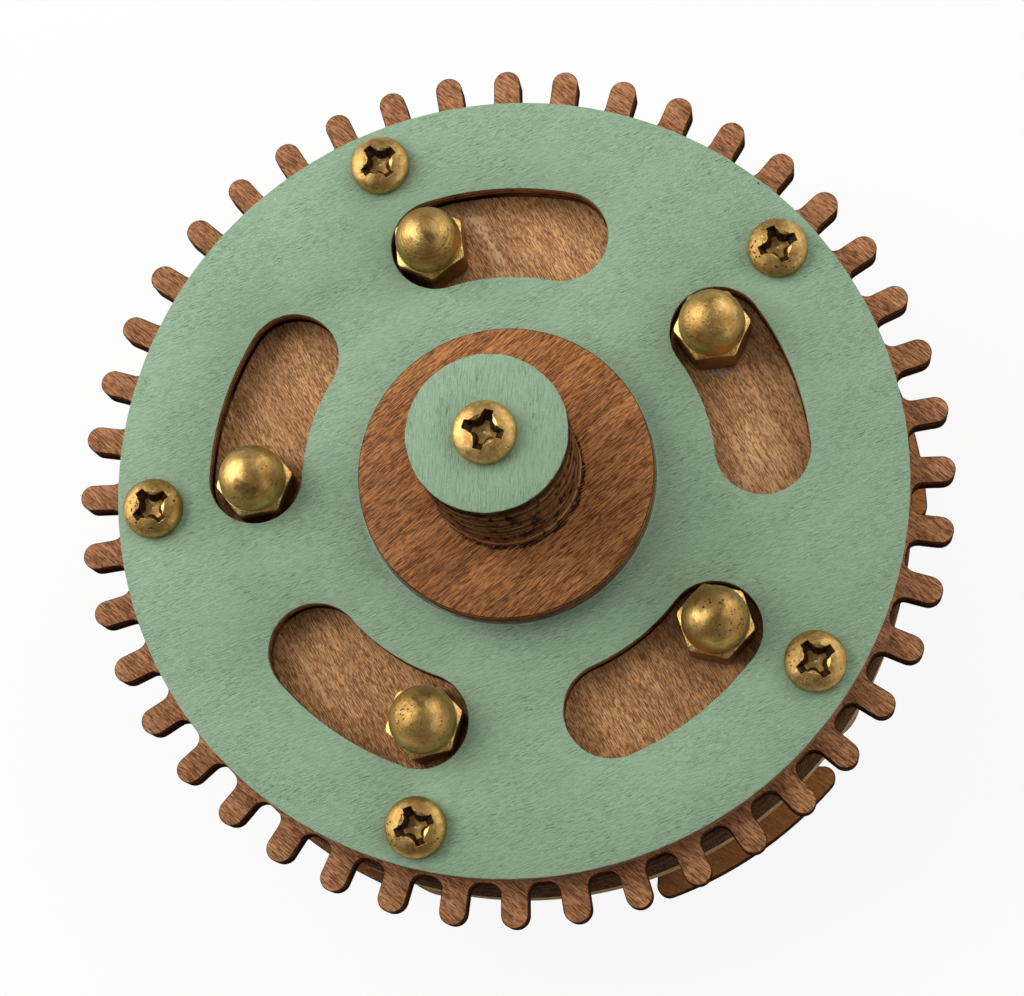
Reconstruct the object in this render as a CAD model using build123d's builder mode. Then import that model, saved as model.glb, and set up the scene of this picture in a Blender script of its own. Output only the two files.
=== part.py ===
from build123d import *
import os
from math import asin, cos, degrees, radians, sin, sqrt

# A hand-turned wooden gear toy. A toothed wheel with a painted face plate turns about
# a fixed hub: five cap nuts on the hub stand up through five arc slots in the face
# plate and stop the wheel at both ends of its travel, and a round knob tops the hub.
# Millimetres. +Z is the turning axis, z = 0 is the underside of the base plate.
# Angles are counted from +X, counterclockwise seen from above.

# Laser-cut plywood and the five-fold layout
ply = 3.0
knob_ply = 2.9
sectors = 5
sector_angle = 360 / sectors
edge_break = 0.2

# Clearances
running_clearance = 0.05
screw_clearance = 0.05
bolt_clearance = 0.05
bolt_tip_clearance = 0.2
washer_bore_clearance = 0.3
disc_side_clearance = 0.3
pad_running_gap = 0.5
face_running_gap = 0.5
slot_nut_clearance = 0.9

# Face plate, with a screw over each pad
face_radius = 44.8
rim_screw_inset = 4.4
first_rim_screw_angle = 40.4

# Toothed ring, whose roots show just outside the face plate
tooth_count = 44
first_tooth_angle = 1.24
tooth_root_reveal = 0.3
tooth_length = 4.9
tooth_width = 3.05
tooth_root_fillet = 1.3

# Drum of stacked rings under the toothed ring, each a little wider than the one above,
# with glide pads below
drum_reveal = 0.8
drum_step = 0.15
drum_wall = 9.6
dark_ring_count = 4
foot_ring_thickness = 4.0
pad_radius = 5.5
pad_floor = 2.0

# Base plate with five lugs, whose sides lean so that the lugs widen outwards
valley_inset = 3.1
lug_length = 5.35
lug_sweep = 33.8
lug_mid_angle = 16.7
lug_side_lean = 30.0
lug_corner_radius = 1.35
valley_fillet = 1.5

# Hub of stacked discs, flange and knob
hub_disc_count = 7
hub_gap = 2.0
bolt_inset = 5.1
flange_radius = 16.55
washer_overhang = 0.35
upper_washer_thickness = 0.2
bushing_radius = 6.0
knob_radius = 8.6
knob_disc_count = 5

# Pan-head wood screws, 3.5 mm, with cross recesses
screw_head_radius = 3.5
screw_head_height = 2.3
screw_head_edge = 0.7
screw_shank_radius = 1.75
screw_tip_length = 3.0
recess_span = 4.4
recess_wing_width = 1.1
recess_waist = 1.3
recess_depth = 1.7
recess_floor_scale = 0.52
knob_screw_length = 35.0
knob_screw_turn = -16.0
rim_screw_turns = (22.0, 39.0, 39.0, 21.5, 33.5)

# M5 countersunk bolts and cap nuts
bolt_radius = 2.45
bolt_head_radius = 4.6
nut_across_flats = 7.7
nut_hex_height = 4.9
nut_dome_radius = 3.75
nut_height = 9.4
nut_thread_depth = 7.6
nut_turns = (5.7, 36.0, 9.0, 14.0, 48.0)

# Arc slots: the nuts stand at their counterclockwise ends
slot_mid_angle = 20.5
slot_sweep = 28.9
nut_past_slot_end = 1.05

# Radii, from the face plate outwards and inwards
tooth_root_radius = face_radius + tooth_root_reveal
tooth_tip_radius = tooth_root_radius + tooth_length
drum_radius = face_radius + drum_reveal
drum_bore_radius = drum_radius - drum_wall
rim_screw_circle = face_radius - rim_screw_inset
base_valley_radius = drum_radius - valley_inset
lug_radius = base_valley_radius + lug_length
hub_radius = drum_bore_radius - hub_gap
slot_path_radius = hub_radius - bolt_inset
washer_radius = flange_radius + washer_overhang
screw_hole_radius = screw_shank_radius + screw_clearance
bolt_hole_radius = bolt_radius + bolt_clearance
nut_corner_radius = nut_across_flats / sqrt(3)
slot_width = 2 * (nut_corner_radius + slot_nut_clearance)
nut_angle = slot_mid_angle + slot_sweep / 2 + nut_past_slot_end

# Heights, from the base plate up
base_top = ply
hub_top = base_top + hub_disc_count * ply
nut_disc_top = hub_top + ply
face_bottom = nut_disc_top + face_running_gap
face_top = face_bottom + ply
gear_bottom = face_bottom - ply
drum_bottom = gear_bottom - dark_ring_count * ply
foot_ring_bottom = drum_bottom - foot_ring_thickness
pad_bottom = base_top + pad_running_gap
flange_bottom = face_top + upper_washer_thickness + running_clearance
flange_top = flange_bottom + ply
knob_top = flange_top + (knob_disc_count + 1) * knob_ply
rim_screw_length = face_top - pad_bottom - pad_floor
bolt_length = nut_disc_top + nut_thread_depth - bolt_tip_clearance

os.makedirs("parts", exist_ok=True)


def polar(radius, angle):
    """The point at a radius and an angle in degrees."""
    return (radius * cos(radians(angle)), radius * sin(radians(angle)))


def holes_on_circle(radius, circle, start):
    """Cut one round hole per sector, all on one circle, from the current sketch."""
    with PolarLocations(circle, sectors, start_angle=start):
        Circle(radius, mode=Mode.SUBTRACT)


def plain_disc(radius, bottom, thickness, hole_radius):
    """A flat disc with one centre hole."""
    with BuildPart() as disc:
        with BuildSketch(Plane.XY.offset(bottom)):
            Circle(radius)
            Circle(hole_radius, mode=Mode.SUBTRACT)
        extrude(amount=thickness)
    return disc


def drum_ring(radius, bottom, thickness):
    """One ring of the drum, with a hole for each rim screw."""
    with BuildPart() as ring:
        with BuildSketch(Plane.XY.offset(bottom)):
            Circle(radius)
            Circle(drum_bore_radius, mode=Mode.SUBTRACT)
            holes_on_circle(screw_hole_radius, rim_screw_circle, first_rim_screw_angle)
        extrude(amount=thickness)
    return ring


def hub_disc(radius, bottom):
    """One disc of the hub, drilled for the five bolts and the knob's screw."""
    with BuildPart() as disc:
        with BuildSketch(Plane.XY.offset(bottom)):
            Circle(radius)
            Circle(screw_hole_radius, mode=Mode.SUBTRACT)
            holes_on_circle(bolt_hole_radius, slot_path_radius, nut_angle)
        extrude(amount=ply)
    return disc


def cross_recess(share):
    """A cross recess at a share of its mouth size: four flat-ended wings joined by arcs
    that bulge inwards."""
    reach = share * recess_span / 2
    half_width = share * recess_wing_width / 2
    bulge = share * recess_waist / sqrt(2)
    with BuildLine() as outline:
        for quarter in range(4):
            stations = ((reach, -half_width), (reach, half_width), (bulge, bulge), (half_width, reach))
            start, end, middle, far = (Vector(*at).rotate(Axis.Z, 90 * quarter) for at in stations)
            Line(start, end)
            ThreePointArc(end, middle, far)
    make_face(outline.edges())


def pan_head_screw(length):
    """A wood screw pointing down, with the underside of its head at z = 0."""
    with BuildPart() as screw:
        with BuildSketch(Plane.XZ):
            with BuildLine():
                Line((0, -length), (screw_shank_radius, screw_tip_length - length))
                Line((screw_shank_radius, screw_tip_length - length), (screw_shank_radius, 0))
                Line((screw_shank_radius, 0), (screw_head_radius - edge_break, 0))
                Line((screw_head_radius - edge_break, 0), (screw_head_radius, edge_break))
                Line((screw_head_radius, edge_break), (screw_head_radius, screw_head_edge))
                EllipticalCenterArc(
                    (0, screw_head_edge),
                    screw_head_radius,
                    screw_head_height - screw_head_edge,
                    start_angle=0,
                    arc_size=90,
                )
                Line((0, screw_head_height), (0, -length))
            make_face()
        revolve(axis=Axis.Z)
        for depth, share in ((0, 1), (recess_depth, recess_floor_scale)):
            with BuildSketch(Plane.XY.offset(screw_head_height - depth)):
                cross_recess(share)
        loft(mode=Mode.SUBTRACT)
    return screw


def undercut(radius):
    """How far a valley's leaning side has moved under its lug at a radius, in degrees."""
    return degrees(asin(lug_radius * sin(radians(lug_side_lean)) / radius)) - lug_side_lean


# Base plate: a disc with five lugs, countersunk below for the bolts
with BuildSketch() as valley:
    valley_sweep = sector_angle - lug_sweep
    outer_radius = lug_radius + ply
    floor_start, floor_end = -undercut(base_valley_radius), valley_sweep + undercut(base_valley_radius)
    mouth_start, mouth_end = -undercut(outer_radius), valley_sweep + undercut(outer_radius)
    with BuildLine():
        CenterArc((0, 0), base_valley_radius, floor_start, floor_end - floor_start)
        CenterArc((0, 0), outer_radius, mouth_start, mouth_end - mouth_start)
        Line(polar(base_valley_radius, floor_start), polar(outer_radius, mouth_start))
        Line(polar(base_valley_radius, floor_end), polar(outer_radius, mouth_end))
    make_face()
with BuildPart() as base_plate:
    with BuildSketch() as base_outline:
        Circle(lug_radius)
        with PolarLocations(0, sectors, start_angle=lug_mid_angle + lug_sweep / 2):
            add(valley.sketch, mode=Mode.SUBTRACT)
        fillet(base_outline.vertices().group_by(SortBy.DISTANCE)[-1], lug_corner_radius)
        fillet(base_outline.vertices().group_by(SortBy.DISTANCE)[0], valley_fillet)
    extrude(amount=ply)
    underside = Plane(origin=(0, 0, 0), x_dir=(1, 0, 0), z_dir=(0, 0, -1))
    with Locations(underside):
        with PolarLocations(slot_path_radius, sectors, start_angle=-nut_angle):
            CounterSinkHole(bolt_hole_radius, bolt_head_radius, counter_sink_angle=90)

# Toothed ring: round-ended fingers on a plain ring
with BuildPart() as gear_ring:
    with BuildSketch(Plane.XY.offset(gear_bottom)) as gear_outline:
        Circle(tooth_root_radius)
        tooth_foot = tooth_root_radius - tooth_width
        with PolarLocations(0, tooth_count, start_angle=first_tooth_angle):
            with Locations(((tooth_foot + tooth_tip_radius) / 2, 0)):
                SlotOverall(tooth_tip_radius - tooth_foot, tooth_width)
        fillet(gear_outline.vertices().group_by(SortBy.DISTANCE)[0], tooth_root_fillet)
        Circle(drum_bore_radius, mode=Mode.SUBTRACT)
        holes_on_circle(screw_hole_radius, rim_screw_circle, first_rim_screw_angle)
    extrude(amount=ply)

# Face plate: five arc slots for the cap nuts, and a bore that runs on the bushing
with BuildPart() as face_plate:
    with BuildSketch(Plane.XY.offset(face_bottom)):
        Circle(face_radius)
        Circle(bushing_radius + running_clearance, mode=Mode.SUBTRACT)
        slot_path = CenterArc(
            (0, 0), slot_path_radius, slot_mid_angle - slot_sweep / 2, slot_sweep, mode=Mode.PRIVATE
        )
        with PolarLocations(0, sectors):
            SlotArc(slot_path, slot_width, mode=Mode.SUBTRACT)
        holes_on_circle(screw_hole_radius, rim_screw_circle, first_rim_screw_angle)
    extrude(amount=ply)
    top_edges = face_plate.edges().group_by(Axis.Z)[-1]
    fillet(top_edges.filter_by(lambda edge: edge.radius > screw_hole_radius + edge_break), edge_break)

# Drum: dark rings glued under the toothed ring, and a thicker bare-wood foot ring
core_rings = [
    drum_ring(drum_radius - layer * drum_step, drum_bottom + layer * ply, ply)
    for layer in range(dark_ring_count)
]
foot_ring = drum_ring(drum_radius, foot_ring_bottom, foot_ring_thickness)

# Round glide pads, one under each rim screw
with BuildPart() as glide_pads:
    with BuildSketch(Plane.XY.offset(pad_bottom)):
        with PolarLocations(rim_screw_circle, sectors, start_angle=first_rim_screw_angle):
            Circle(pad_radius)
            Circle(screw_hole_radius, mode=Mode.SUBTRACT)
    extrude(amount=foot_ring_bottom - pad_bottom)

# Hub: seven discs on the base plate, and the wider nut disc seen through the slots
hub_discs = [hub_disc(hub_radius, base_top + layer * ply) for layer in range(hub_disc_count)]
nut_disc = hub_disc(drum_bore_radius - disc_side_clearance, hub_top)

# Centre bushing, clamped between nut disc and flange, with a slip washer each side
# of the face plate
bushing_height = flange_bottom - nut_disc_top
centre_bushing = plain_disc(bushing_radius, nut_disc_top, bushing_height, screw_hole_radius)
lower_slip_washer = plain_disc(
    washer_radius,
    nut_disc_top,
    face_running_gap - running_clearance,
    bushing_radius + running_clearance,
)
upper_slip_washer = plain_disc(
    washer_radius, face_top, upper_washer_thickness, bushing_radius + washer_bore_clearance
)

# Flange and the stacked knob
flange_disc = plain_disc(flange_radius, flange_bottom, ply, screw_hole_radius)
knob_discs = [
    plain_disc(knob_radius, flange_top + layer * knob_ply, knob_ply, screw_hole_radius)
    for layer in range(knob_disc_count)
]
knob_cap = plain_disc(knob_radius, knob_top - knob_ply, knob_ply, screw_hole_radius)

# Screws: one down the knob, one through the rim over each pad
long_screw = pan_head_screw(knob_screw_length)
short_screw = pan_head_screw(rim_screw_length)
with BuildPart() as knob_screw:
    with Locations(Location((0, 0, knob_top), (0, 0, knob_screw_turn))):
        add(long_screw.part)
with BuildPart() as rim_screws:
    for index, turn in enumerate(rim_screw_turns):
        x, y = polar(rim_screw_circle, first_rim_screw_angle + index * sector_angle)
        with Locations(Location((x, y, face_top), (0, 0, turn))):
            add(short_screw.part)

# Cap nut: a hexagon bevelled at its corners, with a dome and a blind threaded hole
with BuildPart() as cap_nut:
    bevel_height = (nut_corner_radius - nut_dome_radius) / sqrt(3)
    with BuildSketch():
        RegularPolygon(nut_across_flats / 2, 6, major_radius=False)
    extrude(amount=nut_hex_height)
    with BuildSketch(Plane.XZ):
        with BuildLine():
            Polyline(
                (0, 0),
                (nut_dome_radius, 0),
                (nut_corner_radius, bevel_height),
                (nut_corner_radius, nut_hex_height - bevel_height),
                (nut_dome_radius, nut_hex_height),
                (0, nut_hex_height),
                close=True,
            )
        make_face()
    revolve(axis=Axis.Z, mode=Mode.INTERSECT)
    with BuildSketch(Plane.XZ):
        with BuildLine():
            dome_base = nut_height - nut_dome_radius
            Line((0, nut_hex_height), (nut_dome_radius, nut_hex_height))
            Line((nut_dome_radius, nut_hex_height), (nut_dome_radius, dome_base))
            CenterArc((0, dome_base), nut_dome_radius, 0, 90)
            Line((0, nut_height), (0, nut_hex_height))
        make_face()
    revolve(axis=Axis.Z)
    Cylinder(
        bolt_hole_radius,
        nut_thread_depth,
        align=(Align.CENTER, Align.CENTER, Align.MIN),
        mode=Mode.SUBTRACT,
    )
with BuildPart() as cap_nuts:
    for index, turn in enumerate(nut_turns):
        x, y = polar(slot_path_radius, nut_angle + index * sector_angle)
        with Locations(Location((x, y, nut_disc_top), (0, 0, turn))):
            add(cap_nut.part)

# Countersunk bolt, head flush with the underside of the base plate
with BuildPart() as stack_bolt:
    with BuildSketch(Plane.XZ):
        with BuildLine():
            Polyline(
                (0, 0),
                (bolt_head_radius, 0),
                (bolt_radius, bolt_head_radius - bolt_radius),
                (bolt_radius, bolt_length - edge_break),
                (bolt_radius - edge_break, bolt_length),
                (0, bolt_length),
                close=True,
            )
        make_face()
    revolve(axis=Axis.Z)
    for depth, share in ((0, 1), (recess_depth, recess_floor_scale)):
        with BuildSketch(Plane.XY.offset(depth)):
            cross_recess(share)
    loft(mode=Mode.SUBTRACT)
with BuildPart() as stack_bolts:
    with PolarLocations(slot_path_radius, sectors, start_angle=nut_angle):
        add(stack_bolt.part)

# One file per piece, named after it
pieces = {
    "base_plate": base_plate,
    "nut_disc": nut_disc,
    "stack_bolts": stack_bolts,
    "cap_nuts": cap_nuts,
    "centre_bushing": centre_bushing,
    "lower_slip_washer": lower_slip_washer,
    "flange_disc": flange_disc,
    "knob_cap": knob_cap,
    "knob_screw": knob_screw,
    "face_plate": face_plate,
    "gear_ring": gear_ring,
    "foot_ring": foot_ring,
    "glide_pads": glide_pads,
    "rim_screws": rim_screws,
    "upper_slip_washer": upper_slip_washer,
}
for layer, disc in enumerate(hub_discs, start=1):
    pieces[f"hub_disc_{layer}"] = disc
for layer, ring in enumerate(core_rings, start=1):
    pieces[f"core_ring_{layer}"] = ring
for layer, disc in enumerate(knob_discs, start=1):
    pieces[f"knob_disc_{layer}"] = disc
for name, piece in pieces.items():
    piece.part.label = name
    export_step(piece.part, f"parts/{name}.step")
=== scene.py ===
import math
import random

import bmesh
import bpy
from mathutils import Matrix, Quaternion, Vector

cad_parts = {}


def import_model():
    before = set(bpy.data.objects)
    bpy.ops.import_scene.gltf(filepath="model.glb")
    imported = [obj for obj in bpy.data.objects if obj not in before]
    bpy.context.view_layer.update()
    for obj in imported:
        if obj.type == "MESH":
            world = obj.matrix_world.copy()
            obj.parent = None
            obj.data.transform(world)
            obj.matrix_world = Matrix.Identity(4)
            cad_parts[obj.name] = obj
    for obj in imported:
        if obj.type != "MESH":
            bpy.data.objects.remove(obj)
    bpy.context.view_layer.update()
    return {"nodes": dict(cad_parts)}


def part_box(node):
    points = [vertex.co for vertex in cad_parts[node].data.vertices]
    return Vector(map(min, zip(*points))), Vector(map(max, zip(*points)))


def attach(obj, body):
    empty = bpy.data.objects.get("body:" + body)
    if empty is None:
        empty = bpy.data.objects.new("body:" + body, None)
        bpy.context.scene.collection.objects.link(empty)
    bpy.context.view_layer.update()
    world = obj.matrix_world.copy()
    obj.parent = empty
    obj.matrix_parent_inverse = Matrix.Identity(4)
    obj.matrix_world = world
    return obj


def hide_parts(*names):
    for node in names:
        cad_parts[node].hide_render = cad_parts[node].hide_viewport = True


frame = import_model()

# Lengths below are in millimetres and turns in degrees, counted counterclockwise from +X.
MM = 0.001
SECTORS = 5
SECTOR = 360 / SECTORS
ORIGIN = Vector((0, 0))


def span(node):
    """The lowest and highest z of a CAD node, in millimetres."""
    low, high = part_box(node)
    return low.z / MM, high.z / MM


def radius_of(node):
    """The outer radius of a round CAD node, in millimetres."""
    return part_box(node)[1].x / MM


# ---------------------------------------------------------------- outlines

def at(radius, turn):
    """A point at a radius and a turn."""
    return Vector((radius * math.cos(math.radians(turn)), radius * math.sin(math.radians(turn))))


def arc(centre, radius, start, end, steps):
    """Points along an arc from one turn to another, both ends included."""
    return [centre + at(radius, start + (end - start) * i / steps) for i in range(steps + 1)]


def circle(radius, centre=ORIGIN, steps=256, wobble=0.0, seed=0):
    """A round outline. With wobble it is a hand-sanded one, in slightly flat facets."""
    chance = random.Random(seed)
    waves = [(n, chance.uniform(0, 360), chance.uniform(0.4, 1.0)) for n in (5, 7, 9, 13, 17)]
    points = []
    for i in range(steps):
        turn = 360 * i / steps
        swell = sum(size * math.cos(math.radians(n * turn + shift)) for n, shift, size in waves)
        points.append(centre + at(radius - wobble + wobble * swell / len(waves), turn))
    return points


SLOT_PATH = 28.9
NUT_START = 36.0
BOLT_HOLE = 2.5


def nut_spot(index):
    """The middle of a cap nut's place, and of the bolt under it."""
    return at(SLOT_PATH, NUT_START + index * SECTOR)


def bolt_holes():
    """The holes for the bolts that come up into the cap nuts."""
    return [circle(BOLT_HOLE, nut_spot(k), 32) for k in range(SECTORS)]


RIM_SCREW_CIRCLE = 40.4
RIM_SCREW_START = 40.4
SCREW_HOLE = 1.8
SCREW_DRIFT = ((-0.28, 0.05), (0.06, 0.0), (-0.20, -0.06), (-0.09, 0.0), (-0.33, 0.04))


def rim_screw_spot(index):
    """The middle of a rim screw, which stands a little off its place."""
    return at(RIM_SCREW_CIRCLE, RIM_SCREW_START + index * SECTOR) + Vector(SCREW_DRIFT[index])


def rim_screw_holes():
    """The holes that the rim screws go through."""
    return [circle(SCREW_HOLE, rim_screw_spot(k), 32) for k in range(SECTORS)]


BORE = 36.0


def wheel_outlines(outer):
    """A layer of the wheel: its outer outline, the bore and the rim screws' holes."""
    return [outer, circle(BORE, steps=200)] + rim_screw_holes()


def hub_outlines(outer):
    """A layer of the hub: its outer outline, the knob screw's hole and the bolts' holes."""
    return [outer, circle(SCREW_HOLE, steps=32)] + bolt_holes()


def knob_outlines(outer):
    """A layer of the knob: its outer outline and the knob screw's hole."""
    return [outer, circle(SCREW_HOLE, steps=32)]


SLOT_WIDTH = 10.7
SLOT_MID = 20.5
SLOT_SWEEP = 28.9
SLOT_DRIFT = ((-0.14, 0.05), (-0.12, 0.09), (0.03, -0.10), (0.07, -0.16), (0.02, 0.07))


def arc_slot(index):
    """The outline of one arc slot, two long arcs and two round ends, a little off its place."""
    mid = SLOT_MID + index * SECTOR
    first, last = mid - SLOT_SWEEP / 2, mid + SLOT_SWEEP / 2
    half = SLOT_WIDTH / 2
    outer = arc(ORIGIN, SLOT_PATH + half, first, last, 36)
    far_end = arc(at(SLOT_PATH, last), half, last, last + 180, 28)
    inner = arc(ORIGIN, SLOT_PATH - half, last, first, 28)
    near_end = arc(at(SLOT_PATH, first), half, first + 180, first + 360, 28)
    drift = Vector(SLOT_DRIFT[index])
    return [point + drift for point in outer + far_end[1:] + inner[1:] + near_end[1:-1]]


TEETH = 44
FIRST_TOOTH = 1.24
TOOTH_ROOT = 45.1
TOOTH_WIDTH = 3.05
ROOT_FILLET = 1.3
# How uneven the teeth are: half their width, how far their tips fall short, and their lean
TOOTH_SWELL = (-0.04, 0.03)
TIP_SHORT = 0.1
TOOTH_LEAN = 0.6


def toothed_outline():
    """The gear's outline: round-ended fingers with filleted roots, each a little uneven."""
    tip = radius_of("gear_ring")
    chance = random.Random(4)
    points = []
    for k in range(TEETH):
        half = TOOTH_WIDTH / 2 + chance.uniform(*TOOTH_SWELL)
        reach = tip - chance.uniform(0.0, TIP_SHORT)
        lean = math.sin(math.radians(chance.uniform(-TOOTH_LEAN, TOOTH_LEAN)))
        side = half + ROOT_FILLET
        foot = math.sqrt((TOOTH_ROOT + ROOT_FILLET) ** 2 - side ** 2)
        sweep = 90 - math.degrees(math.asin(side / (TOOTH_ROOT + ROOT_FILLET)))
        local = arc(Vector((foot, -side)), ROOT_FILLET, 90 + sweep, 90, 7)
        crown = arc(Vector((reach - half, 0)), half, -90, 90, 16)
        local += [Vector((p.x, p.y + lean * (p.x - foot))) for p in crown]
        local += arc(Vector((foot, side)), ROOT_FILLET, -90, -90 - sweep, 7)
        spin = Matrix.Rotation(math.radians(FIRST_TOOTH + k * 360 / TEETH), 2)
        points += [spin @ p for p in local]
    return points


VALLEY = 42.5
LUG_SWEEP = 33.8
LUG_MID = 16.7
LUG_LEAN = 30.0
LUG_CORNER = 1.35
VALLEY_FILLET = 1.5
LUG_REACH = (47.85, 47.85, 47.85, 46.4, 47.85)
LUG_DRIFT = ((0.19, 0.15), (0.19, 0.15), (0.19, 0.15), (1.03, -0.79), (0.19, 0.15))


def lugged_outline():
    """The base plate's outline: five lugs that widen outwards, with rounded corners and
    filleted valleys between them. Each lug's crown is a little off its place."""
    points = []
    fillet_at = VALLEY + VALLEY_FILLET
    side = max(LUG_REACH) * math.sin(math.radians(LUG_LEAN))
    fillet_shift = math.degrees(math.asin((VALLEY_FILLET - side) / fillet_at)) + LUG_LEAN
    for k, (reach, drift) in enumerate(zip(LUG_REACH, LUG_DRIFT)):
        corner_at = reach - LUG_CORNER
        corner_shift = math.degrees(math.asin((LUG_CORNER + side) / corner_at)) - LUG_LEAN
        first = LUG_MID + k * SECTOR - LUG_SWEEP / 2
        last = first + LUG_SWEEP
        before, after = first - fillet_shift, last + fillet_shift
        points += arc(at(fillet_at, before), VALLEY_FILLET, before + 180, first + 90 - LUG_LEAN, 8)
        start, stop = first + corner_shift, last - corner_shift
        crown = arc(at(corner_at, start), LUG_CORNER, first - 90 - LUG_LEAN, start, 10)
        crown += arc(ORIGIN, reach, start, stop, 24)[1:-1]
        crown += arc(at(corner_at, stop), LUG_CORNER, stop, last + 90 + LUG_LEAN, 10)
        points += [point + Vector(drift) for point in crown]
        points += arc(at(fillet_at, after), VALLEY_FILLET, last - 90 + LUG_LEAN, after - 180, 8)
        points += arc(ORIGIN, VALLEY, after, before + SECTOR, 24)[1:-1]
    return points


# ---------------------------------------------------------------- meshes

def placed(name, data):
    """A new object in the scene."""
    made = bpy.data.objects.new(name, data)
    bpy.context.scene.collection.objects.link(made)
    return made


def area(points):
    """The signed area of an outline, positive when it runs counterclockwise."""
    pairs = zip(points, points[1:] + points[:1])
    return sum(a.x * b.y - b.x * a.y for a, b in pairs) / 2


def drawn_in(points, inset):
    """The outline moved by inset into the material on its left."""
    moved = []
    count = len(points)
    for i, point in enumerate(points):
        before = (point - points[i - 1]).normalized()
        after = (points[(i + 1) % count] - point).normalized()
        side = Vector((-before.y - after.y, before.x + after.x))
        side.normalize()
        lean = max(0.5, side.dot(Vector((-before.y, before.x))))
        moved.append(point + side * inset / lean)
    return moved


FACE, EDGE, RIM, WALL = 0, 1, 2, 3


def plate(name, outlines, low, high, bevel, materials):
    """A flat plate between two heights, with holes, and with its edges slightly broken.
    The first outline is the outer one. Its materials are for faces, cut edges, rims and,
    where a fourth is given, the walls of its holes."""
    mesh = bpy.data.meshes.new(name)
    made = bmesh.new()
    caps = ([], [])
    profile = ((bevel, low), (bevel * 0.3, low + bevel * 0.3), (0, low + bevel),
               (0, high - bevel), (bevel * 0.3, high - bevel * 0.3), (bevel, high))
    for index, outline in enumerate(outlines):
        if (area(outline) > 0) != (index == 0):
            outline = outline[::-1]
        rings = []
        for inset, height in profile:
            ring = drawn_in(outline, inset) if inset else outline
            rings.append([made.verts.new((p.x * MM, p.y * MM, height * MM)) for p in ring])
        count = len(outline)
        side = WALL if index and len(materials) > WALL else EDGE
        for step, (lower, upper) in enumerate(zip(rings, rings[1:])):
            for i in range(count):
                j = (i + 1) % count
                face = made.faces.new((lower[i], lower[j], upper[j], upper[i]))
                face.material_index = side if step == 2 else RIM
                face.smooth = True
        for cap, ring in zip(caps, (rings[0], rings[-1])):
            for i in range(count):
                cap.append(made.edges.get((ring[i], ring[(i + 1) % count])))
    for cap, up in zip(caps, (-1, 1)):
        filled = bmesh.ops.triangle_fill(made, use_beauty=True, edges=cap, normal=(0, 0, up))
        for face in filled["geom"]:
            if isinstance(face, bmesh.types.BMFace):
                face.material_index = FACE
                face.smooth = False
                if face.normal.z * up < 0:
                    face.normal_flip()
    made.to_mesh(mesh)
    made.free()
    mesh.set_sharp_from_angle(angle=math.radians(25))
    for material in materials:
        mesh.materials.append(material)
    return placed(name, mesh)


def ringed(name, rings, materials, bands=(), sharp=28):
    """A closed mesh through rings of points with equal counts, from one pole to the other.
    Each of the bands is a ring's number, from which on the next material is used."""
    mesh = bpy.data.meshes.new(name)
    made = bmesh.new()
    loops = [[made.verts.new(Vector(p) * MM) for p in ring] for ring in rings]
    count = len(loops[0])
    for step, (lower, upper) in enumerate(zip(loops, loops[1:])):
        for i in range(count):
            j = (i + 1) % count
            face = made.faces.new((lower[i], lower[j], upper[j], upper[i]))
            face.smooth = True
            face.material_index = sum(step >= band for band in bands)
    made.faces.new(loops[0][::-1]).smooth = True
    last = made.faces.new(loops[-1])
    last.smooth = True
    last.material_index = len(bands)
    made.to_mesh(mesh)
    made.free()
    mesh.set_sharp_from_angle(angle=math.radians(sharp))
    for material in materials:
        mesh.materials.append(material)
    return placed(name, mesh)


AROUND = 144


def ring_at(height, reach):
    """A ring of points at a height. reach gives the radius, or is a function of the turn."""
    ring = []
    for i in range(AROUND):
        turn = 360 * i / AROUND
        radius = reach(turn) if callable(reach) else reach
        point = at(radius, turn)
        ring.append((point.x, point.y, height))
    return ring


NUT_FLATS = 7.7
NUT_HEX_HEIGHT = 4.9
NUT_DOME = 3.75
NUT_HEIGHT = 9.4
NUT_WEAR = 0.09
NUT_EASE = 0.05
NUT_NECK = 0.03
DOME_STEPS = 23


def hexagon(turn):
    """The radius of the nut's hexagon at a turn. Its corners are worn down, and eased round."""
    fold = (turn + 30) % 60 - 30
    sharp = NUT_FLATS / 2 / math.cos(math.radians(fold))
    eased_from = NUT_FLATS / math.sqrt(3) - NUT_WEAR - NUT_EASE
    if sharp < eased_from:
        return sharp
    return eased_from + NUT_EASE * math.tanh((sharp - eased_from) / NUT_EASE)


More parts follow.
